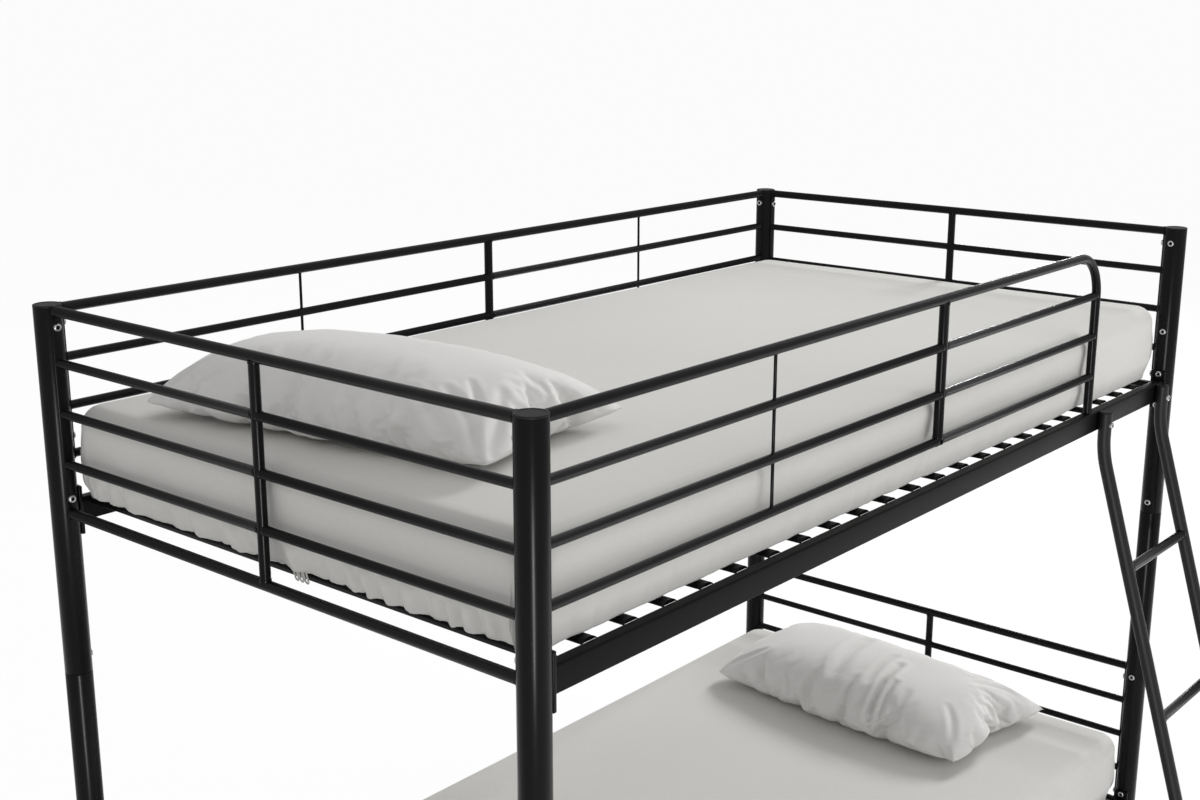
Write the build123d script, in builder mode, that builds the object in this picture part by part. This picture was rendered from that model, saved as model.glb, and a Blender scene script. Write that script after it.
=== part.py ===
# Twin over twin bunk bed: steel tube posts, end panels, guards, slatted bunks and a leaning ladder.
# Millimetres. X runs along the bed, Y across it with the ladder on the -Y side, Z up from the floor.
# The origin is on the floor, under the middle of the whole footprint, ladder included.
import os
from math import atan2, cos, degrees, radians, sin, sqrt

from build123d import *

os.makedirs("parts", exist_ok=True)

# Posts
post_span_x = 1937.8
post_span_y = 1010.4
post_d = 43.5
post_wall = 1.5
post_above_rail = 6.0
post_joint_drop = 598.0
joint_bolt_rise = 24.0
joint_low_bolt_drop = 14.2
connector_margin = 30.0
cap_thickness = 3.0
foot_thickness = 4.0
plug_depth = 18.0
fit_clearance = 0.1
plug_sides = 12

# End panels, the same at both ends of both bunks
top_rail_z = 1484.0
lower_top_rail_z = 523.2
panel_rail_count = 5
panel_rail_pitch = 81.3
panel_edge_d = 16.6
panel_mid_d = 14.3
panel_bar_d = 16.0
strip_thickness = 2.0
strip_half_angle = 21.5
tube_sides = 16
rod_sides = 8
panel_bolt_inset = 25.0

# Guards of the upper bunk
guard_rail_count = 4
guard_rail_pitch = 78.2
guard_top_d = 16.6
guard_rail_d = 14.3
guard_bar_d = 16.5
guard_rod_d = 5.0
guard_rod_reach = 476.0
guard_bend_r = 80.0
guard_gap = 376.8
guard_bolt_top_drop = 22.0
guard_bolt_pitch = 183.0

# Side rails and the slats between them
side_rail_drop = 326.7
side_rail_w = 20.0
side_rail_h = 39.0
side_rail_wall = 1.5
plate_reach = 25.4
plate_seat = 19.0
plate_w = 27.6
plate_h = 80.0
plate_bolt_reach = 33.0
slat_count = 22
slat_pitch = 81.5
slat_w = 30.0
slat_top_w = 12.0
slat_crown = 4.5
slat_rim_depth = 1.5
slat_sheet = 1.2
end_bar_w = 12.0
end_bar_inset = 46.0
end_bar_wall = 1.0

# Ladder
stile_d = 25.0
stile_wall = 1.5
stile_far_inset = 57.0
stile_spacing = 283.0
stile_above_rail = 16.0
stile_cap_thickness = 3.0
stile_bend_drop = 80.8
stile_bend_r = 220.0
stile_lean = 0.303
ladder_bolt_drop = 26.0
rung_d = 19.0
rung_count = 3
rung_pitch = 290.0
ladder_foot_wall = 2.0
ladder_foot_h = 34.0
ladder_foot_floor = 4.0

# Bolts
bolt_head_d = 12.5
bolt_head_h = 3.2
bolt_head_sides = 8
bolt_shank_d = 6.0
bolt_shank_sides = 4
bolt_shank_length = 16.0

# Mattresses and pillows
mattress_end_gap = 14.4
mattress_side_gap = 13.2
mattress_h = 150.9
mattress_corner = 42.0
mattress_edge_r = 36.0
mattress_edge_steps = 3
mattress_hem_in = 12.0
mattress_hem_up = 30.0
rest_gap = 0.3
pillow_l = 640.0
pillow_w = 380.0
pillow_h = 125.0
pillow_draw_in = 20.0
pillow_side_steps = 3
pillow_foot_in = 66.0
pillow_low_z = 13.0
pillow_low_in = 26.0
pillow_seam_z = 35.0
pillow_high_z = 80.0
pillow_high_in = 28.0
pillow_crown_z = 111.0
pillow_crown_in = 70.0
pillow_top_in = 118.0
upper_pillow_in = 264.0
upper_pillow_aside = 31.0
upper_pillow_turn = 8.0
lower_pillow_in = 234.0
lower_pillow_aside = -4.0
lower_pillow_turn = -4.8

# Places worked out from the sizes above
post_r = post_d / 2
post_bore_r = post_r - post_wall
post_low_z = foot_thickness
post_top_z = top_rail_z + post_above_rail
post_joint_z = top_rail_z - post_joint_drop
strip_in_r = post_r + fit_clearance
strip_out_r = strip_in_r + strip_thickness
stile_r = stile_d / 2
stile_stand_off = side_rail_w / 2 + stile_r + fit_clearance
stile_bend_z = top_rail_z - side_rail_drop + side_rail_h / 2 - stile_bend_drop
stile_foot_out = stile_stand_off + stile_bend_z * stile_lean
foot_sleeve_r = stile_r + fit_clearance + ladder_foot_wall
lean_scale = sqrt(1 + stile_lean**2)
foot_reach = stile_foot_out + foot_sleeve_r * lean_scale
half_depth = (post_span_y + post_r + foot_reach) / 2
left_x = -post_span_x / 2
right_x = post_span_x / 2
front_y = foot_reach - half_depth
back_y = half_depth - post_r
mid_y = (front_y + back_y) / 2
panel_drop = panel_rail_pitch * (panel_rail_count - 1)
guard_end_x = right_x - guard_gap
stile_xs = (right_x - stile_far_inset - stile_spacing, right_x - stile_far_inset)
posts = {
    "front_left": (left_x, front_y),
    "front_right": (right_x, front_y),
    "back_left": (left_x, back_y),
    "back_right": (right_x, back_y),
}
bunks = {"upper": top_rail_z, "lower": lower_top_rail_z}


def save(piece, name):
    piece.label = name
    export_step(piece, f"parts/{name}.step")


def ring(diameter, wall):
    Circle(diameter / 2)
    Circle(diameter / 2 - wall, mode=Mode.SUBTRACT)


def tube_section(diameter):
    RegularPolygon(diameter / 2, tube_sides)


def inward(place, middle):
    return 1 if place < middle else -1


def side_rail_z(bunk):
    return bunks[bunk] - side_rail_drop


# Posts: a lower and an upper tube, joined over an inner connector
def post_tube(place, bottom, top):
    with BuildPart() as tube:
        with BuildSketch(Plane.XY.offset(bottom)):
            with Locations(place):
                ring(post_d, post_wall)
        extrude(amount=top - bottom)
    return tube.part


for corner, place in posts.items():
    save(post_tube(place, post_low_z, post_joint_z), f"post_{corner}_lower")
    save(post_tube(place, post_joint_z, post_top_z), f"post_{corner}_upper")

joint_heights = [lower_top_rail_z - joint_low_bolt_drop, post_joint_z + joint_bolt_rise]
connector_length = joint_heights[1] - joint_heights[0] + 2 * connector_margin
with BuildPart() as post_connectors:
    with BuildSketch(Plane.XY.offset(joint_heights[0] - connector_margin)):
        with Locations(*posts.values()):
            RegularPolygon(post_bore_r - fit_clearance, tube_sides)
            RegularPolygon(post_bore_r - fit_clearance - post_wall, tube_sides, mode=Mode.SUBTRACT)
    extrude(amount=connector_length)
save(post_connectors.part, "post_connectors")

with BuildPart() as post_caps:
    with BuildSketch(Plane.XY.offset(post_top_z)):
        with Locations(*posts.values()):
            Circle(post_r)
    extrude(amount=cap_thickness)
    with BuildSketch(Plane.XY.offset(post_top_z)):
        with Locations(*posts.values()):
            RegularPolygon(post_bore_r - fit_clearance, plug_sides)
    extrude(amount=-plug_depth)
save(post_caps.part, "post_caps")

with BuildPart() as post_feet:
    with BuildSketch():
        with Locations(*posts.values()):
            Circle(post_r)
    extrude(amount=foot_thickness)
    with BuildSketch(Plane.XY.offset(foot_thickness)):
        with Locations(*posts.values()):
            RegularPolygon(post_bore_r - fit_clearance, plug_sides)
    extrude(amount=plug_depth)
save(post_feet.part, "post_feet")


# End panels: rails welded to curved strips that hug the posts, and a centre bar between the edge rails
def cross_rails(x, heights, diameter, starts, length):
    with BuildPart() as rails:
        for y in starts:
            with BuildSketch(Plane((x, y, 0), x_dir=(-1, 0, 0), z_dir=(0, 1, 0))):
                with Locations(*[(0, z) for z in heights]):
                    tube_section(diameter)
            extrude(amount=length)
    return rails.part


def panel_bar(x, top):
    with BuildPart() as bar:
        with BuildSketch(Plane.XY.offset(top - panel_drop + panel_edge_d / 2)):
            with Locations((x, mid_y)):
                tube_section(panel_bar_d)
        extrude(amount=panel_drop - panel_edge_d)
    return bar.part


def strip(place, facing, bottom, top):
    with BuildPart() as saddle:
        with BuildSketch(Plane.XY.offset(bottom)) as section:
            with BuildLine():
                outer = CenterArc((0, 0), strip_out_r, facing - strip_half_angle, 2 * strip_half_angle)
                inner = CenterArc((0, 0), strip_in_r, facing - strip_half_angle, 2 * strip_half_angle)
                Line(outer @ 0, inner @ 0)
                Line(outer @ 1, inner @ 1)
            make_face()
        extrude(amount=top - bottom)
    return Pos(*place) * saddle.part


def facing_y(place):
    return 90 * inward(place[1], mid_y)


def facing_x(place):
    return 0 if inward(place[0], 0) == 1 else 180


panel_start = front_y + strip_out_r
panel_length = post_span_y - 2 * strip_out_r
half_length = (panel_length - panel_bar_d) / 2
half_starts = (panel_start, mid_y + panel_bar_d / 2)

for side, x in (("left", left_x), ("right", right_x)):
    for bunk, top in bunks.items():
        panel = f"{side}_{bunk}_panel"
        mid_heights = [top - panel_rail_pitch * i for i in range(1, panel_rail_count - 1)]
        edge_heights = [top, top - panel_drop]
        save(cross_rails(x, edge_heights, panel_edge_d, (panel_start,), panel_length), f"{panel}_edge_rails")
        save(cross_rails(x, mid_heights, panel_mid_d, half_starts, half_length), f"{panel}_mid_rails")
        save(panel_bar(x, top), f"{panel}_centre_bar")
        with BuildPart() as panel_strips:
            for place in ((x, front_y), (x, back_y)):
                low = top - panel_drop - panel_edge_d / 2
                add(strip(place, facing_y(place), low, top + panel_edge_d / 2))
        save(panel_strips.part, f"{panel}_post_strips")


# Guards of the upper bunk: the back one runs post to post, the front one ends in a bent-down tube
guard_heights = [top_rail_z - guard_rail_pitch * i for i in range(1, guard_rail_count)]
guard_low_z = guard_heights[-1]
side_rail_top_z = side_rail_z("upper") + side_rail_h / 2
guard_start = left_x + strip_out_r
bend_rise = guard_bend_r - guard_rail_pitch + guard_rail_d / 2
bend_sag = guard_bend_r - sqrt(guard_bend_r**2 - bend_rise**2)


def along_bed(x, y, z=0):
    return Plane((x, y, z), x_dir=(0, 1, 0), z_dir=(1, 0, 0))


def guard_rails(y, end_x):
    with BuildPart() as rails:
        for start, end in ((guard_start, -guard_bar_d / 2), (guard_bar_d / 2, end_x)):
            with BuildSketch(along_bed(start, y)):
                with Locations(*[(0, z) for z in guard_heights]):
                    tube_section(guard_rail_d)
            extrude(amount=end - start)
    return rails.part


def guard_centre_bar(y):
    low = guard_low_z + guard_rail_d / 2
    with BuildPart() as bar:
        with BuildSketch(Plane.XY.offset(low)):
            with Locations((0, y)):
                tube_section(guard_bar_d)
        extrude(amount=top_rail_z - guard_top_d / 2 - low)
    return bar.part


def guard_rods(xs, y):
    uppers = [top_rail_z - guard_top_d / 2] + [z - guard_rail_d / 2 for z in guard_heights[:-1]]
    with BuildPart() as rods:
        for upper, z in zip(uppers, guard_heights):
            with BuildSketch(Plane.XY.offset(z + guard_rail_d / 2)):
                with Locations(*[(x, y) for x in xs]):
                    RegularPolygon(guard_rod_d / 2, rod_sides)
            extrude(amount=upper - z - guard_rail_d / 2)
    return rods.part


with BuildPart() as back_guard_top_rail:
    with BuildSketch(along_bed(guard_start, back_y, top_rail_z)):
        tube_section(guard_top_d)
    extrude(amount=post_span_x - 2 * strip_out_r)
save(back_guard_top_rail.part, "back_guard_top_rail")

with BuildPart() as front_guard_bent_tube:
    with BuildLine() as guard_path:
        FilletPolyline(
            (guard_start, front_y, top_rail_z),
            (guard_end_x, front_y, top_rail_z),
            (guard_end_x, front_y, side_rail_top_z),
            radius=guard_bend_r,
        )
    with BuildSketch(along_bed(guard_start, front_y, top_rail_z)):
        tube_section(guard_top_d)
    sweep(path=guard_path.wire())
save(front_guard_bent_tube.part, "front_guard_bent_tube")

save(guard_rails(back_y, right_x - strip_out_r), "back_guard_rails")
save(guard_rails(front_y, guard_end_x - guard_top_d / 2 - bend_sag), "front_guard_rails")
save(guard_centre_bar(back_y), "back_guard_centre_bar")
save(guard_centre_bar(front_y), "front_guard_centre_bar")
save(guard_rods([-guard_rod_reach, guard_rod_reach], back_y), "back_guard_rods")
save(guard_rods([-guard_rod_reach], front_y), "front_guard_rod")

with BuildPart() as guard_strips:
    for corner in ("front_left", "back_left", "back_right"):
        place = posts[corner]
        low = guard_low_z - guard_rail_d / 2
        add(strip(place, facing_x(place), low, top_rail_z + guard_top_d / 2))
save(guard_strips.part, "guard_post_strips")


# Side rails: rectangular tube between end plates that seat on the posts
def side_rail(y, z):
    with BuildPart() as rail:
        with BuildSketch(along_bed(left_x + plate_reach, y, z)):
            Rectangle(side_rail_w, side_rail_h)
            Rectangle(side_rail_w - 2 * side_rail_wall, side_rail_h - 2 * side_rail_wall, mode=Mode.SUBTRACT)
        extrude(amount=post_span_x - 2 * plate_reach)
    return rail.part


with BuildSketch(Plane.XZ) as slat_section:
    with BuildLine():
        rim = slat_w / 2
        flat = slat_top_w / 2
        Polyline(
            (-rim, -slat_rim_depth),
            (-flat, slat_crown),
            (flat, slat_crown),
            (rim, -slat_rim_depth),
            (rim - slat_sheet, -slat_rim_depth),
            (flat - slat_sheet / 2, slat_crown - slat_sheet),
            (slat_sheet / 2 - flat, slat_crown - slat_sheet),
            (slat_sheet - rim, -slat_rim_depth),
            close=True,
        )
    make_face()

clear_span = post_span_y - side_rail_w
inner_back = Plane.XZ.offset(side_rail_w / 2 - back_y)
slat_first = -slat_pitch * (slat_count - 1) / 2

for bunk in bunks:
    rail_z = side_rail_z(bunk)
    rail_top = rail_z + side_rail_h / 2
    save(side_rail(front_y, rail_z), f"front_{bunk}_side_rail")
    save(side_rail(back_y, rail_z), f"back_{bunk}_side_rail")

    with BuildPart() as end_plates:
        for x, y in posts.values():
            reach = inward(x, 0) * (plate_reach + plate_seat) / 2
            with Locations((x + reach, y, rail_z)):
                Box(plate_reach - plate_seat, plate_w, plate_h)
        with Locations(*[(x, y, rail_z) for x, y in posts.values()]):
            Cylinder(strip_in_r, 2 * plate_h, mode=Mode.SUBTRACT)
    save(end_plates.part, f"{bunk}_rail_end_plates")

    with BuildPart() as slats:
        with BuildSketch(inner_back) as slat_row:
            with Locations(*[(slat_first + slat_pitch * i, rail_top) for i in range(slat_count)]):
                add(slat_section.sketch_local)
        extrude(amount=clear_span)
    save(slats.part, f"{bunk}_slats")

    with BuildPart() as end_bars:
        with BuildSketch(inner_back):
            bar_z = rail_top - end_bar_w / 2
            with Locations((left_x + end_bar_inset, bar_z), (right_x - end_bar_inset, bar_z)):
                Rectangle(end_bar_w, end_bar_w)
                Rectangle(end_bar_w - 2 * end_bar_wall, end_bar_w - 2 * end_bar_wall, mode=Mode.SUBTRACT)
        extrude(amount=clear_span)
    save(end_bars.part, f"{bunk}_end_bars")


# Ladder: stiles that run down the rail's face, then bend and lean out to the floor
stile_y = front_y - stile_stand_off
stile_top_z = side_rail_z("upper") + side_rail_h / 2 - fit_clearance - stile_cap_thickness
stile_end_z = ladder_foot_floor + stile_r * stile_lean / lean_scale
lean_dir = (0, -stile_lean, -1)


def lean_y(z):
    return stile_y - (stile_bend_z - z) * stile_lean


def lean_cylinder(x, radius, bottom, top):
    with BuildPart() as cylinder:
        with BuildSketch(Plane((x, lean_y(top), top), x_dir=(1, 0, 0), z_dir=lean_dir)):
            Circle(radius)
        extrude(amount=(top - bottom) * lean_scale)
    return cylinder.part


def stile(x):
    with BuildPart() as tube:
        with BuildLine() as stile_path:
            FilletPolyline(
                (x, stile_y, stile_top_z),
                (x, stile_y, stile_bend_z),
                (x, lean_y(stile_end_z), stile_end_z),
                radius=stile_bend_r,
            )
        with BuildSketch(Plane((x, stile_y, stile_top_z), x_dir=(1, 0, 0), z_dir=(0, 0, -1))):
            tube_section(stile_d)
            RegularPolygon(stile_r - stile_wall, tube_sides, mode=Mode.SUBTRACT)
        sweep(path=stile_path.wire())
    return tube.part


save(stile(stile_xs[0]), "ladder_left_stile")
save(stile(stile_xs[1]), "ladder_right_stile")

with BuildPart() as ladder_rungs:
    for i in range(1, rung_count + 1):
        rung_z = rung_pitch * i
        with BuildSketch(along_bed(stile_xs[0] + stile_r, lean_y(rung_z), rung_z)):
            tube_section(rung_d)
        extrude(amount=stile_spacing - stile_d)
save(ladder_rungs.part, "ladder_rungs")

with BuildPart() as ladder_caps:
    with BuildSketch(Plane.XY.offset(stile_top_z)):
        with Locations(*[(x, stile_y) for x in stile_xs]):
            Circle(stile_r)
    extrude(amount=stile_cap_thickness)
    with BuildSketch(Plane.XY.offset(stile_top_z)):
        with Locations(*[(x, stile_y) for x in stile_xs]):
            RegularPolygon(stile_r - stile_wall - fit_clearance, tube_sides)
    extrude(amount=-stile_above_rail)
save(ladder_caps.part, "ladder_caps")

with BuildPart() as ladder_feet:
    for x in stile_xs:
        add(lean_cylinder(x, foot_sleeve_r, -stile_d, ladder_foot_h))
        socket = lean_cylinder(x, stile_r + fit_clearance, stile_end_z, 2 * ladder_foot_h)
        add(socket, mode=Mode.SUBTRACT)
    split(bisect_by=Plane.XY, keep=Keep.TOP)
save(ladder_feet.part, "ladder_feet")

# Bolts: round heads on the inner faces of the posts and on the ladder's face
with BuildPart() as bolt:
    with BuildSketch():
        RegularPolygon(bolt_head_d / 2, bolt_head_sides)
    extrude(amount=bolt_head_h)
    with BuildSketch():
        RegularPolygon(bolt_shank_d / 2, bolt_shank_sides)
    extrude(amount=-bolt_shank_length)


def bolts(name, seats):
    with BuildPart() as group:
        with Locations(*[Plane(point, z_dir=way).location for point, way in seats]):
            add(bolt.part)
    save(group.part, name)


def seats_x(places, radius, heights):
    found = []
    for x, y in places:
        way = inward(x, 0)
        found += [((x + way * radius, y, z), (way, 0, 0)) for z in heights]
    return found


panel_seats = []
for top in bunks.values():
    for z in (top - panel_bolt_inset, top - panel_drop + panel_bolt_inset):
        for x, y in posts.values():
            way = inward(y, mid_y)
            panel_seats.append(((x, y + way * strip_out_r, z), (0, way, 0)))
bolts("panel_bolts", panel_seats)

guard_bolt_heights = [top_rail_z - guard_bolt_top_drop, top_rail_z - guard_bolt_top_drop - guard_bolt_pitch]
strip_corners = [posts["front_left"], posts["back_left"], posts["back_right"]]
guard_seats = seats_x(strip_corners, strip_out_r, guard_bolt_heights)
guard_seats += seats_x([posts["front_right"]], post_r, guard_bolt_heights)
bolts("guard_bolts", guard_seats)

rail_bolt_heights = []
for bunk in bunks:
    rail_bolt_heights += [side_rail_z(bunk) - plate_bolt_reach, side_rail_z(bunk) + plate_bolt_reach]
bolts("side_rail_bolts", seats_x(posts.values(), plate_reach, rail_bolt_heights))

bolts("post_joint_bolts", seats_x(posts.values(), post_r, joint_heights))

ladder_bolt_z = side_rail_z("upper") + side_rail_h / 2 - ladder_bolt_drop
with BuildPart() as ladder_bolts:
    with BuildSketch(Plane.XZ.offset(stile_r - stile_y)):
        with Locations(*[(x, ladder_bolt_z) for x in stile_xs]):
            RegularPolygon(bolt_head_d / 2, bolt_head_sides)
    extrude(amount=bolt_head_h)
    with BuildSketch(Plane.XZ.offset(stile_r - stile_y)):
        with Locations(*[(x, ladder_bolt_z) for x in stile_xs]):
            RegularPolygon(bolt_shank_d / 2, bolt_shank_sides)
    extrude(amount=-stile_d - bolt_shank_length)
save(ladder_bolts.part, "ladder_bolts")


# Soft pieces: bands of one outline, each drawn in by the inset of its level
def banded(levels, outline):
    with BuildPart() as soft:
        for (low_z, low_in), (high_z, high_in) in zip(levels, levels[1:]):
            narrows = high_in >= low_in
            start = low_z if narrows else high_z
            rise = high_z - low_z if narrows else low_z - high_z
            with BuildSketch(Plane.XY.offset(start)):
                outline(min(low_in, high_in))
            extrude(amount=rise, taper=degrees(atan2(abs(high_in - low_in), high_z - low_z)))
    return soft.part


# Mattresses in fitted sheets: a rounded top edge and a drawn-in hem
mattress_l = post_span_x - 2 * mattress_end_gap
mattress_w = post_span_y - 2 * mattress_side_gap


def mattress_outline(inset):
    RectangleRounded(mattress_l - 2 * inset, mattress_w - 2 * inset, mattress_corner - inset)


mattress_levels = [(0, mattress_hem_in), (mattress_hem_up, 0)]
for i in range(mattress_edge_steps + 1):
    edge_turn = radians(90 * i / mattress_edge_steps)
    edge_z = mattress_h - mattress_edge_r * (1 - sin(edge_turn))
    mattress_levels.append((edge_z, mattress_edge_r * (1 - cos(edge_turn))))
mattress = banded(mattress_levels, mattress_outline)


# Pillows: four corners with drawn-in sides, widest at the seam and crowned above it
def pillow_outline(inset):
    steps = [2 * i / pillow_side_steps - 1 for i in range(pillow_side_steps)]
    draws = [pillow_draw_in * (1 - t * t) for t in steps]
    right = [(pillow_w / 2 - draw, pillow_l / 2 * t) for t, draw in zip(steps, draws)]
    top = [(-pillow_w / 2 * t, pillow_l / 2 - draw) for t, draw in zip(steps, draws)]
    Polygon(*right, *top, *[(-x, -y) for x, y in right + top], align=None)
    if inset:
        offset(amount=-inset, kind=Kind.INTERSECTION, mode=Mode.REPLACE)


pillow_levels = [
    (0, pillow_foot_in),
    (pillow_low_z, pillow_low_in),
    (pillow_seam_z, 0),
    (pillow_high_z, pillow_high_in),
    (pillow_crown_z, pillow_crown_in),
    (pillow_h, pillow_top_in),
]
pillow = banded(pillow_levels, pillow_outline)
pillow_places = {
    "upper": (left_x + upper_pillow_in, mid_y + upper_pillow_aside, upper_pillow_turn),
    "lower": (right_x - lower_pillow_in, mid_y + lower_pillow_aside, lower_pillow_turn),
}
for bunk in bunks:
    mattress_low = side_rail_z(bunk) + side_rail_h / 2 + slat_crown + rest_gap
    save(Pos(0, mid_y, mattress_low) * mattress, f"{bunk}_mattress")
    pillow_x, pillow_y, pillow_turn = pillow_places[bunk]
    pillow_low = mattress_low + mattress_h + rest_gap
    save(Pos(pillow_x, pillow_y, pillow_low) * Rot(0, 0, pillow_turn) * pillow, f"{bunk}_pillow")
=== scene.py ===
import math
import bmesh
import bpy
from mathutils import Matrix, Vector, noise


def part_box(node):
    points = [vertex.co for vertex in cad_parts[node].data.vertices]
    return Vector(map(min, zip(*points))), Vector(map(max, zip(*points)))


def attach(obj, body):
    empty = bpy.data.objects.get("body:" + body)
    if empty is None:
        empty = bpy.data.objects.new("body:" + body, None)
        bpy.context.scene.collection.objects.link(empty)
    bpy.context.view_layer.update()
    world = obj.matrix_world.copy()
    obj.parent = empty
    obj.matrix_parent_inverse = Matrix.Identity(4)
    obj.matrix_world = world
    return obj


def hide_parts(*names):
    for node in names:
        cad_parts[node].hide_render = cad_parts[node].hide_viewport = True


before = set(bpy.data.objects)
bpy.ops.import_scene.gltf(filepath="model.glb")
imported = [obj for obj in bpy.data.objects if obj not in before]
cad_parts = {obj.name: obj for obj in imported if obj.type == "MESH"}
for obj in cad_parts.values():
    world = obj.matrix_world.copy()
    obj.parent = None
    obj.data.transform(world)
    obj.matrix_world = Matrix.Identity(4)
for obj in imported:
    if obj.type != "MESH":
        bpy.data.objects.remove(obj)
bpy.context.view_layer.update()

scene = bpy.context.scene
print("frame loaded:", len(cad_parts), "nodes")

postCorners = ("front_left", "front_right", "back_left", "back_right")
meshSet = dict(join=1e-5, merge=1e-6, level=1e-5, sharp=35, bendStep=0.08, bendLeast=6, parallel=0.9,
               roundPart=0.3)


# reading the frame
def boxOf(points):
    lo = Vector([min(c[i] for c in points) for i in range(3)])
    hi = Vector([max(c[i] for c in points) for i in range(3)])
    return lo, hi


def solidBoxes(nodeName):  # low corner, high corner and points of each separate solid of a node
    bm = bmesh.new()
    bm.from_mesh(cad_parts[nodeName].data)
    bmesh.ops.remove_doubles(bm, verts=bm.verts, dist=meshSet["join"])
    seen, boxes = set(), []
    for start in bm.verts:
        if start in seen:
            continue
        stack, group = [start], []
        seen.add(start)
        while stack:
            v = stack.pop()
            group.append(v.co.copy())
            for e in v.link_edges:
                o = e.other_vert(v)
                if o not in seen:
                    seen.add(o)
                    stack.append(o)
        boxes.append((*boxOf(group), group))
    bm.free()
    return boxes


def nodesLike(word):
    return [n for n in sorted(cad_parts) if word in n]


def longAxis(size):  # the longest axis, and the other two
    axis = max(range(3), key=lambda i: size[i])
    return axis, [i for i in range(3) if i != axis]


def axisAt(lo, hi, z):  # a point on a box's upright axis
    return (lo.x + hi.x) / 2, (lo.y + hi.y) / 2, z


# shared shader groups
def newGroup(name, inputs, outputs):
    group = bpy.data.node_groups.new(name, "ShaderNodeTree")
    for label, kind, value in inputs:
        socket = group.interface.new_socket(label, in_out="INPUT", socket_type=kind)
        if value is not None:
            socket.default_value = value
    for label, kind in outputs:
        group.interface.new_socket(label, in_out="OUTPUT", socket_type=kind)
    return group, group.nodes.new("NodeGroupInput"), group.nodes.new("NodeGroupOutput")


def addNode(tree, kind, links=(), **settings):
    node = tree.nodes.new(kind)
    for key, value in settings.items():
        setattr(node, key, value)
    for socket, value in links:
        if isinstance(value, bpy.types.NodeSocket):
            tree.links.new(value, node.inputs[socket])
        else:
            node.inputs[socket].default_value = value
    return node


def addMath(tree, operation, a, b):
    return addNode(tree, "ShaderNodeMath", [(0, a), (1, b)], operation=operation).outputs[0]


def addNoise(tree, vector, scale, detail):
    links = [("Vector", vector), ("Scale", scale), ("Detail", detail)]
    return addNode(tree, "ShaderNodeTexNoise", links).outputs["Fac"]


def addColorMix(tree, factor, a, b):  # 6, 7 and 2 are the mix node's colour sockets
    return addNode(tree, "ShaderNodeMix", [("Factor", factor), (6, a), (7, b)], data_type="RGBA").outputs[2]


def makeCoatGroup():  # fine orange peel, faint cloudiness and rubbed spots of a sprayed coat
    g, gIn, gOut = newGroup(
        "coatGrain",
        [("Vector", "NodeSocketVector", None), ("Dark", "NodeSocketColor", (0.01, 0.01, 0.01, 1)),
         ("Light", "NodeSocketColor", (0.03, 0.03, 0.03, 1)), ("Fine", "NodeSocketFloat", 900.0),
         ("Rough Low", "NodeSocketFloat", 0.3), ("Rough High", "NodeSocketFloat", 0.45)],
        [("Color", "NodeSocketColor"), ("Roughness", "NodeSocketFloat"), ("Height", "NodeSocketFloat")])
    vector = gIn.outputs["Vector"]
    cloud = addNoise(g, vector, 9.0, 4.0)
    fine = addNoise(g, vector, gIn.outputs["Fine"], 2.0)
    spots = addNoise(g, vector, 60.0, 6.0)
    spotMask = addNode(g, "ShaderNodeMapRange", [("Value", spots), ("From Min", 0.6), ("From Max", 0.8)])
    mixed = addColorMix(g, cloud, gIn.outputs["Dark"], gIn.outputs["Light"])
    rough = addNode(g, "ShaderNodeMapRange",
                    [("Value", cloud), ("From Min", 0.3), ("From Max", 0.7),
                     ("To Min", gIn.outputs["Rough Low"]), ("To Max", gIn.outputs["Rough High"])])
    worn = addMath(g, "MULTIPLY", spotMask.outputs["Result"], 0.05)
    roughSum = addMath(g, "ADD", rough.outputs["Result"], worn)
    g.links.new(mixed, gOut.inputs["Color"])
    g.links.new(roughSum, gOut.inputs["Roughness"])
    g.links.new(fine, gOut.inputs["Height"])
    return g


def makeWeaveGroup():  # plain weave: crossing threads, slubs and a soft cloudy tint
    g, gIn, gOut = newGroup(
        "plainWeave",
        [("Vector", "NodeSocketVector", None), ("Base", "NodeSocketColor", (0.7, 0.7, 0.68, 1)),
         ("Shade", "NodeSocketColor", (0.6, 0.6, 0.58, 1)), ("Threads", "NodeSocketFloat", 260.0)],
        [("Color", "NodeSocketColor"), ("Roughness", "NodeSocketFloat"), ("Height", "NodeSocketFloat")])
    vector = gIn.outputs["Vector"]
    waves = []
    for direction in ("X", "Y", "Z"):
        links = [("Vector", vector), ("Scale", gIn.outputs["Threads"]), ("Distortion", 0.6), ("Detail", 1.0)]
        waves.append(addNode(g, "ShaderNodeTexWave", links, wave_type="BANDS",
                             bands_direction=direction).outputs["Fac"])
    height = addMath(g, "ADD", addMath(g, "MULTIPLY", waves[0], waves[1]), waves[2])
    slub = addNoise(g, vector, 140.0, 3.0)
    cloud = addNoise(g, vector, 3.0, 2.0)
    mixed = addColorMix(g, addMath(g, "MULTIPLY", slub, cloud), gIn.outputs["Base"], gIn.outputs["Shade"])
    rough = addNode(g, "ShaderNodeMapRange", [("Value", slub), ("To Min", 0.78), ("To Max", 0.92)])
    g.links.new(mixed, gOut.inputs["Color"])
    g.links.new(rough.outputs["Result"], gOut.inputs["Roughness"])
    g.links.new(height, gOut.inputs["Height"])
    return g


coatGrain = makeCoatGroup()
plainWeave = makeWeaveGroup()


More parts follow.
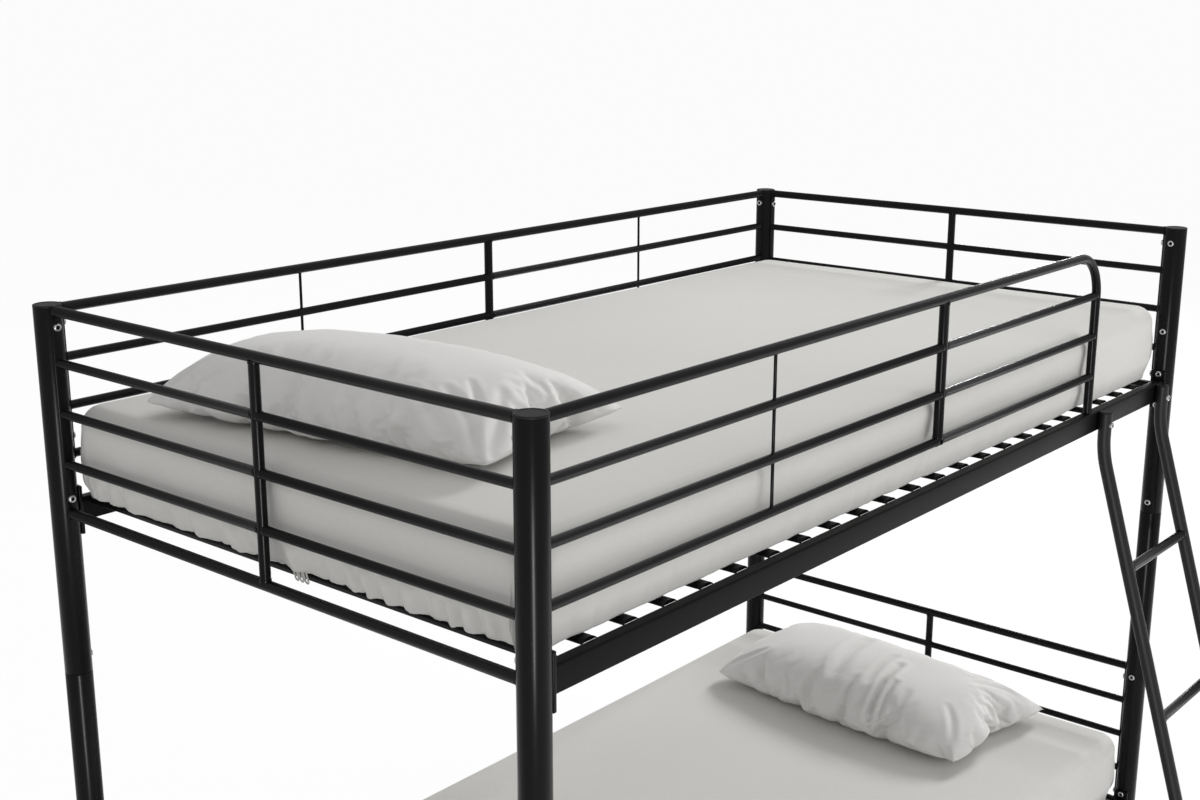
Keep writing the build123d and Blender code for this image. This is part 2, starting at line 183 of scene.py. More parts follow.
def makeMaterial(name, group, values, bump, constants):
    mat = bpy.data.materials.new(name)
    mat.use_nodes = True
    tree = mat.node_tree
    shader = tree.nodes["Principled BSDF"]
    coords = addNode(tree, "ShaderNodeTexCoord")
    effect = addNode(tree, "ShaderNodeGroup", node_tree=group)
    tree.links.new(coords.outputs["Object"], effect.inputs["Vector"])
    for label, value in values.items():
        effect.inputs[label].default_value = value
    bumpNode = addNode(tree, "ShaderNodeBump", [("Height", effect.outputs["Height"]),
                                                ("Strength", bump[0]), ("Distance", bump[1])])
    tree.links.new(effect.outputs["Color"], shader.inputs["Base Color"])
    tree.links.new(effect.outputs["Roughness"], shader.inputs["Roughness"])
    tree.links.new(bumpNode.outputs["Normal"], shader.inputs["Normal"])
    for label, value in constants.items():
        shader.inputs[label].default_value = value
    return mat


finishes = {
    "blackCoat": dict(group=coatGrain, bump=(0.12, 0.0003),
                      values={"Dark": (0.0045, 0.0045, 0.0047, 1), "Light": (0.0075, 0.0075, 0.0078, 1),
                              "Fine": 1100.0, "Rough Low": 0.21, "Rough High": 0.27},
                      constants={"Specular IOR Level": 0.12}),
    "railCoat": dict(group=coatGrain, bump=(0.12, 0.0003),
                     values={"Dark": (0.005, 0.005, 0.0052, 1), "Light": (0.008, 0.008, 0.0082, 1),
                             "Fine": 1100.0, "Rough Low": 0.3, "Rough High": 0.36},
                     constants={"Specular IOR Level": 0.05}),
    # the ladder's lighter base colour is painted reflection of the pale floor on the stiles; its roughness and
    # specular level are its own settings
    "ladderCoatPaintedReflection": dict(group=coatGrain, bump=(0.12, 0.0003),
                       values={"Dark": (0.009, 0.009, 0.0095, 1), "Light": (0.014, 0.014, 0.0145, 1),
                               "Fine": 1100.0, "Rough Low": 0.42, "Rough High": 0.5},
                       constants={"Specular IOR Level": 0.3}),
    "capPlastic": dict(group=coatGrain, bump=(0.2, 0.0003),
                       values={"Dark": (0.012, 0.012, 0.0125, 1), "Light": (0.019, 0.019, 0.0195, 1),
                               "Fine": 1600.0, "Rough Low": 0.46, "Rough High": 0.54},
                       constants={"Specular IOR Level": 0.14}),
    "boltSteel": dict(group=coatGrain, bump=(0.08, 0.0001),
                      values={"Dark": (0.52, 0.52, 0.53, 1), "Light": (0.66, 0.66, 0.67, 1),
                              "Fine": 2400.0, "Rough Low": 0.22, "Rough High": 0.34},
                      constants={"Metallic": 1.0}),
    # near-black colour: painted shade inside the hex socket's recess
    "socketPaintedShade": dict(group=coatGrain, bump=(0.08, 0.0001),
                        values={"Dark": (0.006, 0.006, 0.006, 1), "Light": (0.014, 0.014, 0.014, 1),
                                "Fine": 2400.0, "Rough Low": 0.5, "Rough High": 0.6},
                        constants={"Specular IOR Level": 0.2}),
    "sheetCloth": dict(group=plainWeave, bump=(0.1, 0.0004),
                       values={"Base": (0.68, 0.672, 0.65, 1), "Shade": (0.60, 0.592, 0.57, 1),
                               "Threads": 420.0},
                       constants={"Sheen Weight": 0.15, "Sheen Roughness": 0.5, "Specular IOR Level": 0.2}),
    "pillowCloth": dict(group=plainWeave, bump=(0.1, 0.0004),
                        values={"Base": (0.73, 0.722, 0.708, 1), "Shade": (0.65, 0.642, 0.626, 1),
                                "Threads": 460.0},
                        constants={"Sheen Weight": 0.15, "Sheen Roughness": 0.5, "Specular IOR Level": 0.2}),
    "tickingCloth": dict(group=plainWeave, bump=(0.2, 0.0006),
                         values={"Base": (0.62, 0.615, 0.6, 1), "Shade": (0.5, 0.495, 0.48, 1),
                                 "Threads": 240.0},
                         constants={"Sheen Weight": 0.1, "Specular IOR Level": 0.2}),
}
mats = {name: makeMaterial(name, **spec) for name, spec in finishes.items()}
print("materials:", len(mats))


# mesh helpers
def smoothAll(mesh):
    for p in mesh.polygons:
        p.use_smooth = True


def finishPiece(bm, name, finish, body, nodes=(), sharpAngle=meshSet["sharp"], recalc=True):
    if recalc:
        bmesh.ops.remove_doubles(bm, verts=bm.verts, dist=meshSet["merge"])
        bmesh.ops.recalc_face_normals(bm, faces=bm.faces)
    mesh = bpy.data.meshes.new(name)
    bm.to_mesh(mesh)
    bm.free()
    smoothAll(mesh)
    mesh.set_sharp_from_angle(angle=math.radians(sharpAngle))
    obj = bpy.data.objects.new(name, mesh)
    scene.collection.objects.link(obj)
    mesh.materials.append(mats[finish])
    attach(obj, body)
    if nodes:
        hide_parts(*nodes)
    return obj


def vertsIn(geom):
    return [g for g in geom if isinstance(g, bmesh.types.BMVert)]


def edgesIn(geom):
    return [g for g in geom if isinstance(g, bmesh.types.BMEdge)]


def edgesOf(verts):
    return list({e for v in verts for e in v.link_edges})


def roundEdges(bm, edges, width, segments):
    bmesh.ops.bevel(bm, geom=edges, offset=width, segments=segments, profile=0.5, affect="EDGES", material=-1)


def axisMatrix(origin, direction):  # local +Z turned to the direction
    turn = Vector(direction).normalized().to_track_quat("Z", "Y").to_matrix().to_4x4()
    return Matrix.Translation(origin) @ turn


def lathe(bm, profile, origin, direction, steps):  # profile of (radius, distance along the axis)
    place = axisMatrix(origin, direction)
    verts = [bm.verts.new(place @ Vector((r, 0, d))) for r, d in profile]
    edges = [bm.edges.new((a, b)) for a, b in zip(verts, verts[1:])]
    axis = (place.to_3x3() @ Vector((0, 0, 1))).normalized()
    bmesh.ops.spin(bm, geom=verts + edges, cent=origin, axis=axis, angle=math.tau, steps=steps,
                   use_merge=True, use_duplicate=False)


def roundTop(r, z, k):  # profile of a rounded edge, from the wall up to the flat
    part = k * meshSet["roundPart"]
    return [(r, z - k), (r - part, z - part), (r - k, z)]


def roundFoot(r, k):  # the same at the lower end, from the flat up to the wall
    part = k * meshSet["roundPart"]
    return [(r - k, 0), (r - part, part), (r, k)]


def addCube(bm, lo, hi):
    made = bmesh.ops.create_cube(bm, size=1)["verts"]
    bmesh.ops.scale(bm, verts=made, vec=hi - lo)
    bmesh.ops.translate(bm, verts=made, vec=(lo + hi) / 2)
    return made


def bevelBox(bm, lo, hi, width, segments, along):
    edges = edgesOf(addCube(bm, lo, hi))
    if along is not None:
        ways = [(e, (e.verts[0].co - e.verts[1].co).normalized()) for e in edges]
        edges = [e for e, way in ways if abs(way[along]) > meshSet["parallel"]]
    roundEdges(bm, edges, width, segments)


weldSet = dict(lift=0.0005, midOut=0.45, midUp=0.9, run=2)


def weldedTube(bm, a, b, radius, weld, sink, steps):  # a tube with a weld fillet at each end
    s, length = weldSet, (b - a).length
    flare = [(radius + weld, -sink), (radius + weld, s["lift"]),
             (radius + weld * s["midOut"], weld * s["midUp"]), (radius, weld * s["run"])]
    profile = flare + [(r, length - d) for r, d in reversed(flare)]
    lathe(bm, profile, a, b - a, steps)


def sweepTube(bm, start, direction, radius, runs, steps):  # straight runs and bends, one after another
    here, direction = Vector(start), Vector(direction).normalized()
    made = bmesh.ops.create_circle(bm, cap_ends=False, segments=steps, radius=radius,
                                   matrix=axisMatrix(here, direction))["verts"]
    ring = edgesOf(made)
    for kind, *run in runs:
        if kind == "straight":
            grown = bmesh.ops.extrude_edge_only(bm, edges=ring)["geom"]
            ring = edgesIn(grown)
            step = direction * run[0]
            bmesh.ops.translate(bm, verts=vertsIn(grown), vec=step)
            here = here + step
        else:
            bendRadius, toward, angle = run
            toward = Vector(toward).normalized()
            centre = here + toward * bendRadius
            axis = direction.cross(toward).normalized()
            bendSteps = max(meshSet["bendLeast"], int(angle / meshSet["bendStep"]))
            spun = bmesh.ops.spin(bm, geom=ring, cent=centre, axis=axis, angle=angle, steps=bendSteps)
            ring = edgesIn(spun["geom_last"])
            turn = Matrix.Rotation(angle, 3, axis)
            here = centre + turn @ (here - centre)
            direction = turn @ direction


# posts, caps and feet
postSet = dict(steps=56, edge=0.0012, capRim=0.0011, capDish=0.0006, capLip=0.0035, capNeck=0.004,
               capSkirt=0.012, capSeat=0.003, capHub=0.004, capSwell=0.6, footRound=0.0014, footHigh=0.004,
               footNeck=0.004, footPlug=0.02)


def makePosts():
    s = postSet
    for corner in postCorners:
        bm = bmesh.new()
        names = [f"post_{corner}_lower", f"post_{corner}_upper"]
        for name in names:
            lo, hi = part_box(name)
            r, length = (hi.x - lo.x) / 2, hi.z - lo.z
            profile = roundFoot(r, s["edge"]) + roundTop(r, length, s["edge"])
            lathe(bm, profile, axisAt(lo, hi, lo.z), (0, 0, 1), s["steps"])
        finishPiece(bm, "post_" + corner, "blackCoat", "bed_frame", names)


def makePostCaps():
    s, bm = postSet, bmesh.new()
    for lo, hi, _ in solidBoxes("post_caps"):
        r, z, dish = (hi.x - lo.x) / 2, hi.z, s["capDish"]
        neck, inner, middle = r - s["capNeck"], r - s["capLip"], z - dish * s["capSwell"]
        profile = [(neck, z - s["capSkirt"]), (neck, z - s["capSeat"]), (r, z - s["capSeat"]),
                   *roundTop(r, z, s["capRim"]), (inner, z), (inner - dish, z - dish),
                   (s["capHub"], middle), (0, middle)]
        lathe(bm, profile, axisAt(lo, hi, 0), (0, 0, 1), s["steps"])
    finishPiece(bm, "postCaps", "capPlastic", "bed_frame", ["post_caps"])


def makePostFeet():
    s, bm = postSet, bmesh.new()
    for lo, hi, _ in solidBoxes("post_feet"):
        r = (hi.x - lo.x) / 2
        neck = r - s["footNeck"]
        profile = [(0, 0), *roundFoot(r, s["footRound"]), (r, s["footHigh"]), (neck, s["footHigh"]),
                   (neck, s["footPlug"])]
        lathe(bm, profile, axisAt(lo, hi, 0), (0, 0, 1), s["steps"])
    finishPiece(bm, "postFeet", "capPlastic", "bed_frame", ["post_feet"])


makePosts()
makePostCaps()
makePostFeet()
print("posts done")

# rails, bars and rods: each solid of a node gives one round tube
tubeSet = dict(steps=24, weld=0.0008, sink=0.004, rodWeld=0.0006, rodSink=0.003, rungWeld=0.0014,
               rungSink=0.006)


def makeTubes(pieceName, nodeNames, weld=tubeSet["weld"], sink=tubeSet["sink"]):
    bm = bmesh.new()
    for nodeName in nodeNames:
        for lo, hi, _ in solidBoxes(nodeName):
            size = hi - lo
            axis, others = longAxis(size)
            r = max(size[i] for i in others) / 2
            a, b = (lo + hi) / 2, (lo + hi) / 2
            a[axis], b[axis] = lo[axis], hi[axis]
            weldedTube(bm, a, b, r, weld, sink, tubeSet["steps"])
    finishPiece(bm, pieceName, "blackCoat", "bed_frame", nodeNames)


for side in ("left", "right"):
    for bunk in ("upper", "lower"):
        panel = f"{side}_{bunk}_panel"
        makeTubes(panel + "_rails", [panel + "_edge_rails", panel + "_mid_rails"])
        makeTubes(panel + "_bar", [panel + "_centre_bar"])
makeTubes("back_guard_tubes", ["back_guard_top_rail", "back_guard_rails"])
makeTubes("front_guard_tubes", ["front_guard_rails"])
makeTubes("guard_bars", ["back_guard_centre_bar", "front_guard_centre_bar"])
makeTubes("guard_rods", ["back_guard_rods", "front_guard_rod"], tubeSet["rodWeld"], tubeSet["rodSink"])
makeTubes("ladderRungs", ["ladder_rungs"], tubeSet["rungWeld"], tubeSet["rungSink"])

guardSet = dict(bend=0.08, steps=28, startSink=0.003, endSink=0.002)


def makeBentGuard():
    s, bm = guardSet, bmesh.new()
    lo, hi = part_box("front_guard_bent_tube")
    r = (hi.y - lo.y) / 2
    y, topZ, endX = (lo.y + hi.y) / 2, hi.z - r, hi.x - r
    runs = [("straight", endX - s["bend"] - lo.x + s["startSink"]),
            ("bend", s["bend"], (0, 0, -1), math.pi / 2),
            ("straight", topZ - s["bend"] - lo.z + s["endSink"])]
    sweepTube(bm, (lo.x - s["startSink"], y, topZ), (1, 0, 0), r, runs, s["steps"])
    finishPiece(bm, "frontGuardTube", "blackCoat", "bed_frame", ["front_guard_bent_tube"])


makeBentGuard()
print("rails and guards done")

# strips that hug the posts
stripSet = dict(half=math.radians(21.5), thick=0.002, gap=0.0001, steps=8, bevel=0.0005, bevelSteps=2,
                sharp=0.9)


def makeStrips(pieceName, nodeNames):
    s, bm = stripSet, bmesh.new()
    posts = [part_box(f"post_{c}_upper") for c in postCorners]
    centres = [((lo + hi) / 2, (hi.x - lo.x) / 2) for lo, hi in posts]
    for nodeName in nodeNames:
        for lo, hi, _ in solidBoxes(nodeName):
            mid = (lo + hi) / 2
            centre, r = min(centres, key=lambda c: (c[0].xy - mid.xy).length)
            facing = math.atan2(mid.y - centre.y, mid.x - centre.x)
            rIn, rOut = r + s["gap"], r + s["gap"] + s["thick"]
            axisPoint = (centre.x, centre.y, 0)
            place = Matrix.Translation(axisPoint) @ Matrix.Rotation(facing - s["half"], 4, "Z")
            corners = [(rIn, lo.z), (rOut, lo.z), (rOut, hi.z), (rIn, hi.z)]
            face = bm.faces.new([bm.verts.new(place @ Vector((d, 0, z))) for d, z in corners])
            bmesh.ops.spin(bm, geom=[face], cent=axisPoint, axis=(0, 0, 1), angle=2 * s["half"],
                           steps=s["steps"])
    bmesh.ops.recalc_face_normals(bm, faces=bm.faces)
    sharp = [e for e in bm.edges if len(e.link_faces) == 2 and e.calc_face_angle(0) > s["sharp"]]
    roundEdges(bm, sharp, s["bevel"], s["bevelSteps"])
    finishPiece(bm, pieceName, "blackCoat", "bed_frame", nodeNames)


makeStrips("panelStrips", nodesLike("panel_post_strips"))
makeStrips("guardStrips", ["guard_post_strips"])

# side rails, plates, slats and end bars
railSet = dict(corner=0.0032, cornerSteps=4, plateBevel=0.0016, plateSteps=3, barCorner=0.0015, barSteps=2)
slatSet = dict(steps=10, sheet=0.0012, arch=2.4, inset=0.0004, tabInset=0.0006, tabDeep=0.0014, tabShare=0.97,
               tabDrop=0.0004)


def makeBoxes(pieceName, nodeNames, width, segments, along=None, finish="blackCoat"):
    bm = bmesh.new()
    for nodeName in nodeNames:
        for lo, hi, _ in solidBoxes(nodeName):
            bevelBox(bm, lo, hi, width, segments, along)
    finishPiece(bm, pieceName, finish, "bed_frame", nodeNames)


def makeSlats(bunk):
    s, bm = slatSet, bmesh.new()
    spread = [2 * i / s["steps"] - 1 for i in range(s["steps"] + 1)]
    arch = [1 - abs(t) ** s["arch"] for t in spread]
    shapes = [((lo.x + hi.x) / 2, (hi.x - lo.x) / 2, hi.z - lo.z, lo, hi)
              for lo, hi, _ in solidBoxes(f"{bunk}_slats")]
    for cx, half, rise, lo, hi in shapes:
        line = [bm.verts.new((cx + t * half, lo.y + s["inset"], lo.z + rise * high - s["sheet"] / 2))
                for t, high in zip(spread, arch)]
        edges = [bm.edges.new((a, b)) for a, b in zip(line, line[1:])]
        grown = bmesh.ops.extrude_edge_only(bm, edges=edges)["geom"]
        bmesh.ops.translate(bm, verts=vertsIn(grown), vec=(0, hi.y - lo.y - 2 * s["inset"], 0))
    bmesh.ops.recalc_face_normals(bm, faces=bm.faces)
    bmesh.ops.solidify(bm, geom=list(bm.faces), thickness=s["sheet"])
    for cx, half, rise, lo, hi in shapes:  # a folded-down tab closes each end
        for y, depth in ((lo.y + s["tabInset"], s["tabDeep"]), (hi.y - s["tabInset"], -s["tabDeep"])):
            rim = [bm.verts.new((cx + t * half * s["tabShare"], y, lo.z + (rise - s["tabDrop"]) * high))
                   for t, high in zip(spread, arch)]
            grown = bmesh.ops.extrude_face_region(bm, geom=[bm.faces.new(rim)])["geom"]
            bmesh.ops.translate(bm, verts=vertsIn(grown), vec=(0, depth, 0))
    finishPiece(bm, f"{bunk}Slats", "blackCoat", "bed_frame", [f"{bunk}_slats"], sharpAngle=50)


makeBoxes("sideRails", [n for n in nodesLike("_side_rail") if "bolts" not in n], railSet["corner"],
          railSet["cornerSteps"], along=0, finish="railCoat")
makeBoxes("railEndPlates", nodesLike("rail_end_plates"), railSet["plateBevel"], railSet["plateSteps"])
makeBoxes("slatEndBars", nodesLike("_end_bars"), railSet["barCorner"], railSet["barSteps"], along=1)
makeSlats("upper")
makeSlats("lower")
print("rails, plates and slats done")

# ladder
ladderSet = dict(bendDrop=0.0808, bend=0.22, lean=math.atan(0.303), steps=28, endSteps=40, capRound=0.0012,
                 capNeck=0.003, capSkirt=0.012, capSeat=0.003, capLip=0.0002, capHub=0.003,
                 sleeveRound=0.0012, sleeveHole=0.002, sleeveSink=0.03, sleeveWall=0.0035)


def makeStiles():
    s = ladderSet
    lean = s["lean"]
    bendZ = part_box("front_upper_side_rail")[1].z - s["bendDrop"]
    tangent = s["bend"] * math.tan(lean / 2)
    for side in ("left", "right"):
        lo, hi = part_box(f"ladder_{side}_stile")
        r = (hi.x - lo.x) / 2
        x, y, topZ = (lo.x + hi.x) / 2, hi.y - r, hi.z
        down = (bendZ - (lo.z + r * math.sin(lean))) / math.cos(lean) - tangent
        runs = [("straight", topZ - bendZ - tangent), ("bend", s["bend"], (0, -1, 0), lean),
                ("straight", down)]
        bm = bmesh.new()
        sweepTube(bm, (x, y, topZ), (0, 0, -1), r, runs, s["steps"])
        # the stiles take the black coat lightened with painted floor reflection
        finishPiece(bm, f"ladder_{side}_tube", "ladderCoatPaintedReflection", "bed_frame", [f"ladder_{side}_stile"])


def makeLadderCaps():
    s, bm = ladderSet, bmesh.new()
    for lo, hi, _ in solidBoxes("ladder_caps"):
        r, z, k = (hi.x - lo.x) / 2, hi.z, s["capRound"]
        neck, lip = r - s["capNeck"], r + s["capLip"]
        profile = [(neck, z - s["capSkirt"]), (neck, z - s["capSeat"]), (lip, z - s["capSeat"]), (lip, z - k),
                   *roundTop(r, z, k)[1:], (s["capHub"], z), (0, z)]
        lathe(bm, profile, axisAt(lo, hi, 0), (0, 0, 1), s["endSteps"])
    finishPiece(bm, "ladderCaps", "capPlastic", "bed_frame", ["ladder_caps"])


def makeLadderFeet():  # leaning sleeves, cut level at the floor
    s, bm = ladderSet, bmesh.new()
    lean = s["lean"]
    axis = Vector((0, math.sin(lean), math.cos(lean)))
    for lo, hi, _ in solidBoxes("ladder_feet"):
        r = (hi.x - lo.x) / 2
        foot = Vector(((lo.x + hi.x) / 2, lo.y + r / math.cos(lean), 0))
        length = hi.z / math.cos(lean) - r * math.tan(lean)
        profile = [(s["sleeveHole"], -s["sleeveSink"]), (r, -s["sleeveSink"]),
                   *roundTop(r, length, s["sleeveRound"]), (r - s["sleeveWall"], length)]
        before = set(bm.verts)
        lathe(bm, profile, foot, axis, s["endSteps"])
        fresh = [v for v in bm.verts if v not in before]
        geom = fresh + edgesOf(fresh) + list({f for v in fresh for f in v.link_faces})
        cut = bmesh.ops.bisect_plane(bm, geom=geom, plane_co=(0, 0, 0), plane_no=(0, 0, -1), clear_outer=True)
        bmesh.ops.edgenet_fill(bm, edges=edgesIn(cut["geom_cut"]))
    finishPiece(bm, "ladderFeet", "capPlastic", "bed_frame", ["ladder_feet"])


makeStiles()
makeLadderCaps()
makeLadderFeet()

# bolts: a low round head with a hex socket coloured near black as painted shade
boltSet = dict(head=0.0062, high=0.0032, dome=((1, 0.5), (0.97, 0.74), (0.88, 0.93), (0.76, 1)), sink=0.0015,
               shank=0.0045, socket=0.0031, rim=1.16, bore=1.04, chamfer=0.0004, boreDeep=0.0012,
               hexWide=1.05, hexDrop=0.0006, hexDeep=0.0024, hexSides=6, steps=20)


def boltSeat(lo, hi, group):  # where a head sits, and the way it faces
    axis, others = longAxis(hi - lo)
    mid = (lo + hi) / 2
    wide = [c for c in group if max(abs(c[i] - mid[i]) for i in others) > boltSet["shank"]]
    sign = 1 if sum(c[axis] for c in wide) / len(wide) > mid[axis] else -1
    seat, direction = mid.copy(), Vector((0, 0, 0))
    seat[axis] = (hi[axis] if sign > 0 else lo[axis]) - sign * boltSet["high"]
    direction[axis] = sign
    return seat, direction


def makeBolts():
    s = boltSet
    h, r, k = s["high"], s["head"], s["socket"]
    profile = [(r, -s["sink"]), *[(r * a, h * b) for a, b in s["dome"]], (k * s["rim"], h),
               (k * s["bore"], h - s["chamfer"]), (k * s["bore"], h - s["boreDeep"])]
    for nodeName in nodesLike("_bolts"):
        bm, sockets = bmesh.new(), bmesh.new()
        for lo, hi, group in solidBoxes(nodeName):
            seat, direction = boltSeat(lo, hi, group)
            lathe(bm, profile, seat, direction, s["steps"])
            place = axisMatrix(seat, direction) @ Matrix.Translation((0, 0, h - s["hexDrop"]))
            ring = bmesh.ops.create_circle(sockets, cap_ends=False, segments=s["hexSides"],
                                           radius=k * s["hexWide"], matrix=place)["verts"]
            low = vertsIn(bmesh.ops.extrude_edge_only(sockets, edges=edgesOf(ring))["geom"])
            bmesh.ops.translate(sockets, verts=low, vec=-direction * s["hexDeep"])
            bmesh.ops.contextual_create(sockets, geom=low)
        bmesh.ops.recalc_face_normals(sockets, faces=sockets.faces)
        bmesh.ops.reverse_faces(sockets, faces=sockets.faces)  # a socket is seen from inside
        finishPiece(bm, "heads_" + nodeName, "boltSteel", "bed_frame", [nodeName])
        finishPiece(sockets, "sockets_" + nodeName, "socketPaintedShade", "bed_frame", recalc=False)


makeBolts()
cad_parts["post_connectors"].data.materials.clear()
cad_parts["post_connectors"].data.materials.append(mats["blackCoat"])
print("ladder and bolts done")

# mattress cores and fitted sheets
blockSet = dict(upright=0.01, crease=0.5, down=-0.9)
mattressSet = dict(corner=0.04, cornerSteps=5, edge=0.03, edgeSteps=4, inset=0.012, cell=0.06, topGap=0.004,
                   underGap=0.0004, tuftZone=0.002, tuftHigh=0.0012, tuftRate=40)
sheetSet = dict(corner=0.042, cornerSteps=7, edge=0.034, edgeSteps=6, square=4.0, squareFrom=1e-4,
                squareHigh=0.06, cell=0.014, thick=0.0009, bandHigh=0.072, bandCuts=2, endFrom=0.35, endTo=0.9,
                outMost=0.002,
                topMargin=0.001, topDrop=0.0012, topWave=0.0014, topRate=3.2,
                drawIn=0.009, drawHigh=0.04, cornerDraw=0.005, cornerHigh=0.055,
                gather=0.015, gatherHigh=0.062, fold=2.6, foldRate=27, foldMean=0.75, ripple=0.5,
                rippleRate=58, rippleShift=0.3, slant=0.45, slantRate=5, sideFold=0.15, hemFold=0.45,
                hemHigh=0.025,
                drape=0.003, drapeRate=11, drapeStretch=0.35, sideBlend=0.04,
                tuckSide=0.05, tuckEnd=0.014, hang=0.003, hangMean=0.9, hemRings=4,
                sideLift=0.005, liftRate=12, hemUp=0.001, endUp=0.002)


def roundedBlock(lo, hi, s, openBelow):
    bm, b = bmesh.new(), blockSet
    addCube(bm, lo, hi)
    upright = [e for e in bm.edges if abs(e.verts[0].co.z - e.verts[1].co.z) > b["upright"]]
    roundEdges(bm, upright, s["corner"], s["cornerSteps"])
    for z in [hi.z] if openBelow else [hi.z, lo.z]:
        rim = [e for e in bm.edges if all(abs(v.co.z - z) < meshSet["level"] for v in e.verts)
               and len(e.link_faces) == 2 and e.calc_face_angle(0) > b["crease"]]
        roundEdges(bm, rim, s["edge"], s["edgeSteps"])
    if openBelow:
        bmesh.ops.delete(bm, geom=[f for f in bm.faces if f.normal.z < b["down"]], context="FACES_ONLY")
    for axis in range(3):  # cut into even cells
        first = int(math.floor(lo[axis] / s["cell"])) + 1
        last = int(math.ceil(hi[axis] / s["cell"]))
        for i in range(first, last):
            point, normal = Vector((0, 0, 0)), Vector((0, 0, 0))
            point[axis], normal[axis] = i * s["cell"], 1
            geom = bm.verts[:] + bm.edges[:] + bm.faces[:]
            bmesh.ops.bisect_plane(bm, geom=geom, plane_co=point, plane_no=normal)
    return bm


seedSkew = 0.37  # keeps the seeds apart in the third direction too


def softNoise(p, scale, seed):
    return noise.noise(Vector((p.x * scale + seed, p.y * scale - seed, p.z * scale + seedSkew * seed)))


def smoothStep(a, b, t):
    t = min(1.0, max(0.0, (t - a) / (b - a)))
    return t * t * (3 - 2 * t)


def cornerOffset(p, centre, half, corner):  # how far a point lies into a rounded corner, each way
    return (max(0.0, abs(p.x - centre.x) - half.x + corner), max(0.0, abs(p.y - centre.y) - half.y + corner))


def outwardAt(p, centre, half, corner):  # the level direction out of a rounded rectangle
    x, y = cornerOffset(p, centre, half, corner)
    way = Vector((math.copysign(x, p.x - centre.x), math.copysign(y, p.y - centre.y), 0))
    return way.normalized() if way.length > meshSet["merge"] else way


def squareOut(p, centre, half, s):  # how far the sewn corner stands out past the round one
    x, y = [d / s["corner"] for d in cornerOffset(p, centre, half, s["corner"])]
    if min(x, y) < s["squareFrom"]:
        return 0.0
    return s["corner"] * (math.hypot(x, y) / (x ** s["square"] + y ** s["square"]) ** (1 / s["square"]) - 1)


def makeCore(bunk, node, lo, hi):
    s = mattressSet
    core = roundedBlock(lo + Vector((s["inset"], s["inset"], s["underGap"])),
                        hi - Vector((s["inset"], s["inset"], s["topGap"])), s, False)
    for v in core.verts:  # tufts on the underside
        if v.co.z < lo.z + s["tuftZone"]:
            wave = math.cos(v.co.x * s["tuftRate"]) * math.cos(v.co.y * s["tuftRate"])
            v.co.z += s["tuftHigh"] * (0.5 + 0.5 * wave)
    finishPiece(core, f"{bunk}MattressCore", "tickingCloth", node, [node], sharpAngle=60)


